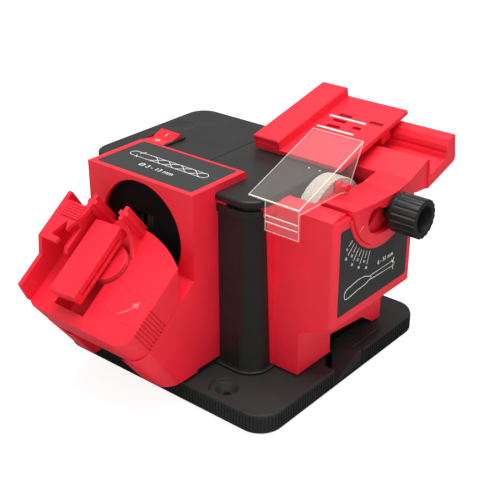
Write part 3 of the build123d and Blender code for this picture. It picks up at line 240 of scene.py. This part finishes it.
red = moulded("red_moulding", (0.83, 0.014, 0.035), 0.40)
black = moulded("black_moulding", (0.014, 0.015, 0.014), 0.42,
                spread=0.15, grain=2200.0, strength=0.25, shine=0.35)
base_black = moulded("base_black_moulding", (0.026, 0.028, 0.027), 0.55,
                     spread=0.15, grain=2200.0, strength=0.25, shine=0.2)
# a lighter, glossier black that paints the highlight on the body's flange bead
bead_painted_highlight = moulded("bead_painted_highlight", (0.05, 0.05, 0.05), 0.25, spread=0.1)
# near black that paints the shade inside the drill guide's holes
painted_hole_shade = moulded("painted_hole_shade", (0.004, 0.004, 0.005), 0.8,
                     spread=0.1, grain=2200.0, strength=0.1, shine=0.1)
label = moulded("label_plate", (0.032, 0.034, 0.032), 0.45,
                spread=0.04, grain=3000.0, strength=0.05, shine=0.3)
rubber = moulded("foot_rubber", (0.025, 0.025, 0.025), 0.75, spread=0.2, grain=1500.0, strength=0.3)
belt = moulded("belt_rubber", (0.03, 0.03, 0.03), 0.7, spread=0.2, grain=1500.0, strength=0.3)
fan_white = moulded("fan_moulding", (0.62, 0.62, 0.60), 0.45)
switch_red = moulded("switch_moulding", (0.85, 0.012, 0.022), 0.28, spread=0.03, strength=0.04)
print_white = moulded("printed_white", (0.80, 0.80, 0.80), 0.5, spread=0.03)
# pale red: the scale pointer's mark, and a painted highlight on the guide's raised arrow
pale_mark_with_painted_glint = moulded("pale_mark_with_painted_glint_red", (0.92, 0.13, 0.16), 0.4, spread=0.03)
# a little lighter than the red: a painted highlight on two sides of the guide's frame
painted_lit_side = moulded("painted_lit_side_red", (0.88, 0.035, 0.06), 0.4, spread=0.03)
# dark red painted shade: two sides of the guide's frame, the line under the arrow, and the wheel's
# rings
painted_shade_line = moulded("painted_shade_line_red", (0.55, 0.008, 0.02), 0.5, spread=0.03)
# dark red that paints the shade in the carriage's slots
painted_slot_shade = moulded("painted_slot_shade_red", (0.24, 0.003, 0.012), 0.6, spread=0.05, strength=0.1, shine=0.2)
carbon = moulded("pressed_carbon", (0.03, 0.03, 0.03), 0.6, spread=0.2)
magnet = moulded("ferrite", (0.06, 0.06, 0.065), 0.6, spread=0.2)
core_brown = moulded("varnished_core", (0.25, 0.12, 0.06), 0.35, spread=0.3, grain=700.0, strength=0.3)
steel = metal("plated_steel", (0.62, 0.62, 0.62), 0.32)
ground_steel = metal("ground_shaft", (0.68, 0.68, 0.69), 0.24, stretch=(0.05, 1.0, 1.0))
# the steel strips as pale pinkish plastic: a painted glint with the red's reflection in it
painted_strip_glint = moulded("painted_strip_glint", (0.86, 0.76, 0.76), 0.25,
                       spread=0.03, grain=900.0, strength=0.05)
bearing_chrome = metal("bearing_steel", (0.78, 0.78, 0.79), 0.14)
copper = metal("turned_copper", (0.80, 0.36, 0.20), 0.28)
aluminium = metal("turned_aluminium", (0.74, 0.74, 0.75), 0.34)
grit_pale = grit("pale_grit", (0.34, 0.30, 0.25), (0.68, 0.61, 0.53))
grit_dark = grit("dark_grit", (0.03, 0.03, 0.03), (0.10, 0.10, 0.095))
guard_clear = clear("clear_sheet", (1.0, 0.93, 0.89), 0.06, alpha=0.05)
# pale lines that paint the highlights on the guard's cut edges and ribs
guard_glint_paint = clear("clear_sheet_glint_paint", (1.0, 0.94, 0.86), 0.2, alpha=0.7)
guard_thin_glint_paint = clear("clear_sheet_thin_glint_paint", (1.0, 0.92, 0.88), 0.2, alpha=0.45)


def dress_nodes():
    """Give each node the material of its slot, apart from three black nodes with one of their own; the
    drill's inner cover is near black as painted shade in its holes.
    """
    slot_materials = {
        "red_plastic": red, "black_plastic": black, "label_grey": label, "clear_plastic": guard_clear,
        "switch_red": switch_red, "fan_plastic": fan_white, "rubber": rubber, "belt_rubber": belt,
        "abrasive": grit_pale, "abrasive_dark": grit_dark, "carbon": carbon, "magnet": magnet,
        "screw_steel": steel, "flange_steel": steel, "spring_steel": steel, "can_steel": steel,
        "shaft_steel": ground_steel, "bearing_steel": bearing_chrome, "strip_steel": painted_strip_glint,
        "core_iron": core_brown, "copper": copper, "pulley_aluminium": aluminium,
    }
    node_materials = {
        "drill_inner_cover": painted_hole_shade, "base_plate": base_black, "release_lever": base_black,
    }
    node_slots = {entry["node"]: entry["material_slot"] for entry in frame["record"]["subparts"]}
    for node_name, node in nodes.items():
        node.data.materials.clear()
        slot_material = slot_materials[node_slots[node_name]]
        node.data.materials.append(node_materials.get(node_name, slot_material))


def soften_edges():
    """Small rounded edges on the mouldings."""
    edge_width, edge_segments, sharp_from, weld_reach = 0.35, 2, 40, 0.002
    soft_nodes = ("base_plate", "body_shell_left", "body_shell_right", "release_lever",
                  "drill_housing", "guide_block", "guide_fence", "clamp_bar", "clamp_wheel",
                  "chisel_housing", "tilt_table", "lock_knob", "carriage_plate", "carriage_bar",
                  "switch_bezel", "switch_rocker")
    for node_name in soft_nodes:
        weld = nodes[node_name].modifiers.new("weld", "WELD")
        weld.merge_threshold = weld_reach * mm
        bevel = nodes[node_name].modifiers.new("edges", "BEVEL")
        bevel.width = edge_width * mm
        bevel.segments = edge_segments
        bevel.limit_method = "ANGLE"
        bevel.angle_limit = radians(sharp_from)


dress_nodes()
soften_edges()

# -------- base and body: skirt ribs, ridges, bead, pips
base_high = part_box("base_plate")[1]
half_w = base_high[0] / mm
half_d = base_high[1] / mm
base_corner_r = 15.0


def skirt_places(pitch):
    """Places round the base's outline with their outward direction."""
    mid_x, mid_y = half_w - base_corner_r, half_d - base_corner_r
    sides = ((-mid_x, -half_d, mid_x, -half_d, (0, -1)), (half_w, -mid_y, half_w, mid_y, (1, 0)),
             (mid_x, half_d, -mid_x, half_d, (0, 1)), (-half_w, mid_y, -half_w, -mid_y, (-1, 0)))
    corners = ((mid_x, -mid_y, -pi / 2), (mid_x, mid_y, 0),
               (-mid_x, mid_y, pi / 2), (-mid_x, -mid_y, pi))
    places = []
    for x0, y0, x1, y1, out in sides:
        count = round((abs(x1 - x0) + abs(y1 - y0)) / pitch)
        for i in range(count):
            t = (i + 0.5) / count
            places.append((x0 + (x1 - x0) * t, y0 + (y1 - y0) * t, out))
    for center_x, center_y, start in corners:
        count = round(base_corner_r * pi / 2 / pitch)
        for i in range(count):
            a = start + (i + 0.5) / count * pi / 2
            out = (cos(a), sin(a))
            places.append((center_x + base_corner_r * out[0], center_y + base_corner_r * out[1], out))
    return places


def make_skirt_ribs():
    """Upright ribs round the skirt, left out where the release lever comes through on the right."""
    pitch, width, depth, root, taper = 2.3, 1.3, 0.5, 0.3, 0.7
    bottom, top = 0.6, 10.4
    lever_front, lever_back = -14.7, 16.7
    half = width / 2
    section = ((-root, -half), (depth, -taper * half), (depth, taper * half), (-root, half))
    ribs = []
    for x, y, (ox, oy) in skirt_places(pitch):
        if (ox, oy) == (1, 0) and lever_front - width < y < lever_back + width:
            continue
        ribs.append([[(x + ox * out - oy * side, y + oy * out + ox * side, z) for out, side in section]
                     for z in (bottom, top)])
    plate_piece("base_skirt_ribs", ribs, black, "machine_base")


def make_well_ridges():
    """A low curved ridge beside each screw well, on the side towards the middle."""
    well_x, well_y, ridge_r, ridge_z, line_r = 47.0, 71.25, 10.6, 12.45, 0.45
    bend = range(-50, 71, 8)
    ridge = arc(well_x, well_y, -ridge_r, bend)
    lines = [[(sign_x * x, sign_y * y, ridge_z) for x, y in ridge]
             for sign_x in (-1, 1) for sign_y in (-1, 1)]
    line_piece("well_ridges", lines, line_r, black, "machine_base")


def make_flange_bead():
    """A fine bead round the foot of the body, in a lighter and glossier black that paints the highlight
    on the flange's edge, left out where the housings stand.
    """
    left, right, front, back, corner = -80.3, 54.8, -55.6, 52.1, 14.3
    drill_left, drill_right, chisel_front, back_end = -60.2, 25.6, -36.0, right - 2.0
    z, line_r = 14.5, 0.35
    mid_left, mid_right = left + corner, right - corner
    mid_front, mid_back = front + corner, back - corner
    right_part = [(drill_right, front)]
    right_part += arc(mid_right, mid_front, corner, range(-90, 1, 10))
    right_part += [(right, chisel_front)]
    left_part = [(back_end, back), (mid_left, back)]
    left_part += arc(mid_left, mid_back, corner, range(90, 181, 10))
    left_part += arc(mid_left, mid_front, corner, range(180, 271, 10))
    left_part += [(drill_left, front)]
    lines = [[(x, y, z) for x, y in part] for part in (right_part, left_part)]
    line_piece("flange_bead_highlight_paint", lines, line_r, bead_painted_highlight, "machine_base")


def make_top_pips():
    """Two short pale marks on the body's top."""
    places = ((44.1, 9.1), (51.8, 9.4))
    top_z, half_length, line_r = 127.0, 0.4, 0.5
    lines = [[(x - half_length, y, top_z), (x + half_length, y, top_z)] for x, y in places]
    line_piece("top_pips", lines, line_r, print_white, "machine_base")


make_skirt_ribs()
make_well_ridges()
make_flange_bead()
make_top_pips()


# -------- drill label: a drill's outline and its sizes
def make_drill_label():
    """A twist drill with round ends, two marks near the left one and two crossing waves as flutes."""
    label_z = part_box("drill_label")[1][2] / mm
    mid_y, half, line_r = -47.3, 3.0, 0.2
    left, flutes, right = -46.0, -32.0, 10.0
    turns, steps = 2.0, 64
    mark_x, mark_reach, mark_inside, mark_outside = 3.0, 2.5, 1.8, 1.6
    words_size, words_x, words_y = 5.2, -17.8, -58.0
    left_end = arc(left, 0.0, half, range(90, 271, 20))
    right_end = arc(right, 0.0, half, range(90, -91, -20))
    edges = [[(left, side), (right, side)] for side in (half, -half)]
    waves = [[(flutes + (right - flutes) * i / steps, half * cos(2 * pi * turns * i / steps + phase))
              for i in range(steps + 1)] for phase in (0.0, pi)]
    marks = [[(left + mark_x, side * (half - mark_inside)),
              (left + mark_x + mark_reach, side * (half + mark_outside))] for side in (1, -1)]
    outline = (left_end, right_end, *edges, *waves, *marks)
    lines = [[(x, mid_y + y, label_z) for x, y in line] for line in outline]
    line_piece("drill_label_outline", lines, line_r, print_white, "machine_base")
    text_piece("drill_label_sizes", "\u00d8 3 - 13 mm", words_size, (words_x, words_y, label_z),
               (1, 0, 0), (0, 1, 0), print_white, "machine_base")


make_drill_label()

# -------- side label: tilt scale, chisel outline, sizes
label_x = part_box("chisel_label")[1][0] / mm
tilt_y, tilt_z = 11.55, 127.4


def round_tilt(r, angle, x):
    """A place round the table's tilting axis, at a radius and an angle in degrees."""
    return (x, tilt_y + r * cos(radians(angle)), tilt_z + r * sin(radians(angle)))


def make_scale():
    """Tick marks round the tilting axis, short and long in turn, with their numbers beyond them."""
    scale_r, short_reach, long_reach, tick_r = 37.2, 41.5, 45.5, 0.16
    first, last = -144.5, -108.0
    numbers = range(15, 51, 5)
    number_size, number_gap, number_thick = 2.3, 2.2, 0.08
    ticks = []
    for i, number in enumerate(numbers):
        angle = first + (last - first) * i / (len(numbers) - 1)
        reach = long_reach if i % 2 else short_reach
        ticks.append([round_tilt(scale_r, angle, label_x), round_tilt(reach, angle, label_x)])
        out_y, out_z = cos(radians(angle)), sin(radians(angle))
        place = round_tilt(reach + number_gap, angle, label_x)
        text_piece(f"scale_number_{number}", str(number), number_size, place,
                   (0, -out_z, out_y), (0, -out_y, -out_z), print_white, "machine_base", number_thick)
    line_piece("scale_ticks", ticks, tick_r, print_white, "machine_base")


def make_side_label():
    """A chisel with its handle to the front and three marks at its cutting edge, and its sizes."""
    line_r = 0.2
    words_size, words_y, words_z = 4.0, 17.6, 80.3
    handle = smoothed([(2.6, 74.5), (0.5, 74.9), (-4.0, 76.6), (-11.0, 77.2), (-18.0, 76.2),
                       (-22.5, 75.5), (-24.3, 73.6), (-24.4, 71.2), (-22.8, 69.4), (-18.0, 69.6),
                       (-11.0, 70.6), (-4.0, 71.0), (0.5, 72.3), (2.6, 72.5)])
    blade = [(3.0, 74.9), (26.6, 75.0), (28.6, 72.6), (26.4, 71.4), (3.0, 72.2)]
    marks = [[(25.2, 76.6), (26.4, 73.6)], [(27.6, 77.0), (26.4, 73.6)], [(26.2, 72.2), (27.2, 68.9)]]
    lines = [[(label_x, y, z) for y, z in line] for line in (handle + handle[:1], blade, *marks)]
    line_piece("side_label_outline", lines, line_r, print_white, "machine_base")
    text_piece("side_label_sizes", "6 - 51 mm", words_size, (label_x, words_y, words_z),
               (0, 1, 0), (0, 0, 1), print_white, "machine_base")


def make_scale_pointer():
    """A mark that points at the scale, on the table's cheek a little inside the table's box."""
    angle, inner_r, outer_r, cheek_inset, line_r = -148, 27.6, 32.0, 1.0, 0.3
    cheek_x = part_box("tilt_table")[1][0] / mm - cheek_inset
    line = [round_tilt(inner_r, angle, cheek_x), round_tilt(outer_r, angle, cheek_x)]
    line_piece("scale_pointer", [line], line_r, pale_mark_with_painted_glint, "tilting_table")


make_scale()
make_side_label()
make_scale_pointer()


# -------- carriage slots with painted shade, table ledge and switch marks
def make_slot_floors():
    """A thin dark red sheet of painted shade low in each of the carriage's slots, less deep where the
    runner lies below.
    """
    slope = (12.6, tilt_y + 0.95, tilt_z + 3.6)
    slots = ((27, 37, 37.0), (27, 37, 44.0), (27, 37, 51.0), (44, 50, 41.0), (50, 60, 51.0))
    slot_width, shade_sheet_thickness = 3.0, 0.3
    runner_front, shade_sheet_h, runner_shade_sheet_h = 50.0, -2.6, -0.9
    plates = []
    for left, right, front in slots:
        top = runner_shade_sheet_h if front > runner_front else shade_sheet_h
        back = front + slot_width
        corners = ((left, front), (right, front), (right, back), (left, back))
        plates.append([[on_slope(slope, x, t, h) for x, t in corners]
                       for h in (top - shade_sheet_thickness, top)])
    plate_piece("carriage_slot_painted_shade", plates, painted_slot_shade, "carriage")


def make_ledge_lip():
    """A round lip under the front of the table's ledge, behind the wheel."""
    left, right, y, z, line_r = 55.0, 74.4, 35.7, 117.65, 0.6
    line_piece("table_ledge_lip", [[(left, y, z), (right, y, z)]], line_r, red, "tilting_table")


def make_switch_marks():
    """I on the rocker's back half and O on its front half, each along its own face."""
    low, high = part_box("switch_rocker")
    x, size = (low[0] + high[0]) / 2 / mm, 4.6
    marks = (("switch_mark_on", "I", -8.6, 129.0, (0, 8, 3)),
             ("switch_mark_off", "O", -17.0, 127.85, (0, 9.1, -0.7)))
    for name, words, y, z, up in marks:
        text_piece(name, words, size, (x, y, z), (1, 0, 0), up, print_white, "power_rocker")


make_slot_floors()
make_ledge_lip()
make_switch_marks()

# -------- guide block: pressed frame, swing arrow and rings, with painted shade and highlight
block_slope = (37.0, -73.6, 77.9)
block_top = 18.8


def on_block(outline, lift=0.0):
    """Places on or above the guide block's top from pairs of x across and t up the slope."""
    return [on_slope(block_slope, x, t, block_top + lift) for x, t in outline]


def make_guide_frame():
    """A pressed four-sided frame with painted shade on its upper and lower lines and a painted
    highlight on the other two.
    """
    upper_left, upper_right = (-2.3, -25.5), (19.3, -26.2)
    lower_left, lower_right = (-4.0, -42.0), (20.5, -44.5)
    line_r = 0.13
    deep = [on_block([upper_left, upper_right]), on_block([lower_right, lower_left])]
    pale = [on_block([upper_right, lower_right]), on_block([lower_left, upper_left])]
    line_piece("guide_mark_frame_shade_paint", deep, line_r, painted_shade_line, "drill_guide")
    line_piece("guide_mark_frame_highlight_paint", pale, line_r, painted_lit_side, "drill_guide")


def make_guide_arrow():
    """A thin raised arrow, swept up to the right, pale red as a painted highlight, with a line of
    painted shade along its lower side.
    """
    under_r, sunk, raised = 0.16, 0.05, 0.12
    under = [(-1.2, -38.6), (0.8, -41.4), (4.4, -40.9), (8.0, -39.2),
             (10.8, -37.0), (13.6, -33.4)]
    sweep = [(4.4, -40.7), (8.0, -39.0), (10.8, -36.8), (13.4, -33.6),
             (12.2, -34.0), (9.6, -36.5), (7.0, -38.5)]
    head = [(14.2, -32.9), (16.0, -32.8), (15.4, -28.6), (11.4, -31.4),
            (12.6, -32.6), (12.0, -34.6)]
    line_piece("guide_arrow_shade_paint", [on_block(under)], under_r, painted_shade_line, "drill_guide")
    plates = [[on_block(outline, -sunk), on_block(outline, raised)] for outline in (sweep, head)]
    plate_piece("guide_arrow", plates, pale_mark_with_painted_glint, "drill_guide")


def make_wheel_rings():
    """Fine raised rings round the clamping wheel in dark red as painted shade, the lowest just under
    the block's top.
    """
    wheel_x, wheel_t, ring_r, line_r = -20.0, -15.0, 12.3, 0.22
    ring = arc(wheel_x, wheel_t, ring_r, range(0, 360, 10))
    rings = [on_block(ring, lift) for lift in (-0.2, 1.1, 2.4)]
    line_piece("clamp_wheel_rings", rings, line_r, painted_shade_line, "clamp_thumbwheel", closed=True)


make_guide_frame()
make_guide_arrow()
make_wheel_rings()

# -------- guard: cut edges and stiffening ribs drawn as painted highlights
guard_low, guard_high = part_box("guard")
guard_left = guard_low[0] / mm
guard_right, guard_back, guard_top = (c / mm for c in guard_high)
guard_front_y, guard_front_z = -46.5, 128.7
guard_skirt_left, guard_skirt_low = 54.4, 109.5


def make_guard_edges():
    """Painted highlight lines along the cut edges: strong at the front bend, weaker on the right, thin
    on the rest.
    """
    edge_in, front_r, side_r, thin_r = 0.35, 0.5, 0.35, 0.2
    left, right = guard_left + edge_in, guard_right - edge_in
    front, back = guard_front_y + edge_in, guard_back - edge_in
    front_z, back_z = guard_front_z - edge_in, guard_top - edge_in
    skirt_left, skirt_low = guard_skirt_left + edge_in, guard_skirt_low + edge_in
    cheek_low = 125.3 + edge_in
    ear_front, ear_back, ear_low, ear_top = -5.2, 1.6, 124.8, (3.0, 129.0)
    front_left, front_right = (left, front, front_z), (right, front, front_z)
    back_left, back_right = (left, back, back_z), (right, back, back_z)
    cheek = [(front, cheek_low), (ear_front, cheek_low), (ear_front, ear_low),
             (ear_back, ear_low), ear_top, (back, back_z)]
    skirt = [(skirt_left, front_z), (skirt_left, skirt_low), (right, skirt_low), (right, front_z)]
    thin = [[front_left, back_left, back_right], [(right, y, z) for y, z in cheek],
            [(x, front, z) for x, z in skirt]]
    line_piece("guard_front_edge", [[front_left, front_right]], front_r, guard_glint_paint, "wheel_guard")
    line_piece("guard_side_edge", [[front_right, back_right]], side_r, guard_thin_glint_paint, "wheel_guard")
    line_piece("guard_thin_edges", thin, thin_r, guard_thin_glint_paint, "wheel_guard")


def make_guard_ribs():
    """Two level ribs across the guard's front skirt, drawn in pale lines that paint their highlight."""
    inset, line_r, heights = 1.0, 0.35, (119.4, 115.6)
    left, right = guard_skirt_left + inset, guard_right - inset
    lines = [[(left, guard_front_y, z), (right, guard_front_y, z)] for z in heights]
    line_piece("guard_ribs", lines, line_r, guard_glint_paint, "wheel_guard")


make_guard_edges()
make_guard_ribs()


# -------- camera, lamps, surroundings and floor
def make_camera():
    """The photograph's viewpoint: a place, a turn about Z, a rise above the level and a slight roll."""
    place = at(375.7, -450.85, 360.5)
    turn, rise, roll = radians(39.98), radians(26.46), radians(-0.12)
    data = bpy.data.cameras.new("camera")
    data.lens = 76.5
    data.sensor_width = 36.0
    data.clip_end = 10.0
    camera = bpy.data.objects.new("camera", data)
    bpy.context.collection.objects.link(camera)
    back = Vector((sin(turn) * cos(rise), -cos(turn) * cos(rise), sin(rise)))
    right = Vector((cos(turn), sin(turn), 0.0))
    axes = Matrix((right, back.cross(right), back)).transposed().to_4x4()
    camera.matrix_world = Matrix.Translation(place) @ axes @ Matrix.Rotation(roll, 4, "Z")
    bpy.context.scene.camera = camera


def lamp(name, place, size, watts):
    """A soft round white lamp that shines at the machine's middle; place and size are in metres."""
    middle = Vector((0, 0, 0.08))
    data = bpy.data.lights.new(name, "AREA")
    data.shape = "DISK"
    data.size = size
    data.energy = watts
    holder = bpy.data.objects.new(name, data)
    bpy.context.collection.objects.link(holder)
    holder.location = place
    holder.rotation_euler = (middle - Vector(place)).to_track_quat("-Z", "Y").to_euler()


def blend_by(tree, switch, off, on):
    """A value that is off, and becomes on where the switch is 1; both may be sockets or numbers."""
    level = tree.nodes.new("ShaderNodeMapRange")
    for socket, value in (("To Min", off), ("To Max", on)):
        if isinstance(value, float):
            level.inputs[socket].default_value = value
        else:
            tree.links.new(value, level.inputs[socket])
    tree.links.new(switch, level.inputs["Value"])
    return level.outputs["Result"]


def make_surroundings():
    """White all round: full to the camera and through clear sheet, dimmer as light and reflected."""
    as_light, reflected, full = 0.42, 0.45, 1.0
    world = bpy.data.worlds.new("world")
    bpy.context.scene.world = world
    world.use_nodes = True
    tree = world.node_tree
    background = tree.nodes["Background"]
    background.inputs["Color"].default_value = (1, 1, 1, 1)
    rays = tree.nodes.new("ShaderNodeLightPath").outputs
    level = blend_by(tree, rays["Is Glossy Ray"], as_light, reflected)
    level = blend_by(tree, rays["Is Transmission Ray"], level, full)
    level = blend_by(tree, rays["Is Camera Ray"], level, full)
    tree.links.new(level, background.inputs["Strength"])


def floor_finish():
    """Pale as light, dark in reflections, and glowing white with a faint shadow to the camera."""
    as_light, reflected, to_camera, camera_glow, rough = 0.82, 0.14, 0.35, 0.86, 0.9
    material, shader = principled("floor_white", (as_light, as_light, as_light), rough, shine=0.0)
    tree = material.node_tree
    rays = tree.nodes.new("ShaderNodeLightPath").outputs
    grey = tree.nodes.new("ShaderNodeCombineColor")
    level = blend_by(tree, rays["Is Glossy Ray"], as_light, reflected)
    level = blend_by(tree, rays["Is Camera Ray"], level, to_camera)
    for channel in ("Red", "Green", "Blue"):
        tree.links.new(level, grey.inputs[channel])
    tree.links.new(grey.outputs["Color"], shader.inputs["Base Color"])
    shader.inputs["Emission Color"].default_value = (1, 1, 1, 1)
    glow = blend_by(tree, rays["Is Camera Ray"], 0.0, camera_glow)
    tree.links.new(glow, shader.inputs["Emission Strength"])
    return material


def make_floor():
    """A square floor under the rubber feet; its half side and its height are in metres."""
    half, floor_z = 3.0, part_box("rubber_feet")[0][2]
    corners = ((-half, -half), (half, -half), (half, half), (-half, half))
    mesh = bpy.data.meshes.new("floor")
    mesh.from_pydata([(x, y, floor_z) for x, y in corners], [], [(0, 1, 2, 3)])
    mesh.materials.append(floor_finish())
    floor = bpy.data.objects.new("floor", mesh)
    bpy.context.collection.objects.link(floor)


make_camera()
lamp("lamp_top", (0.1, 0.0, 1.5), 1.2, 23)
lamp("lamp_front", (0.2, -1.3, 0.8), 0.9, 3.2)
lamp("lamp_right", (1.3, -0.2, 0.6), 0.9, 2.8)
make_surroundings()
make_floor()
bpy.context.scene.view_settings.view_transform = "Standard"
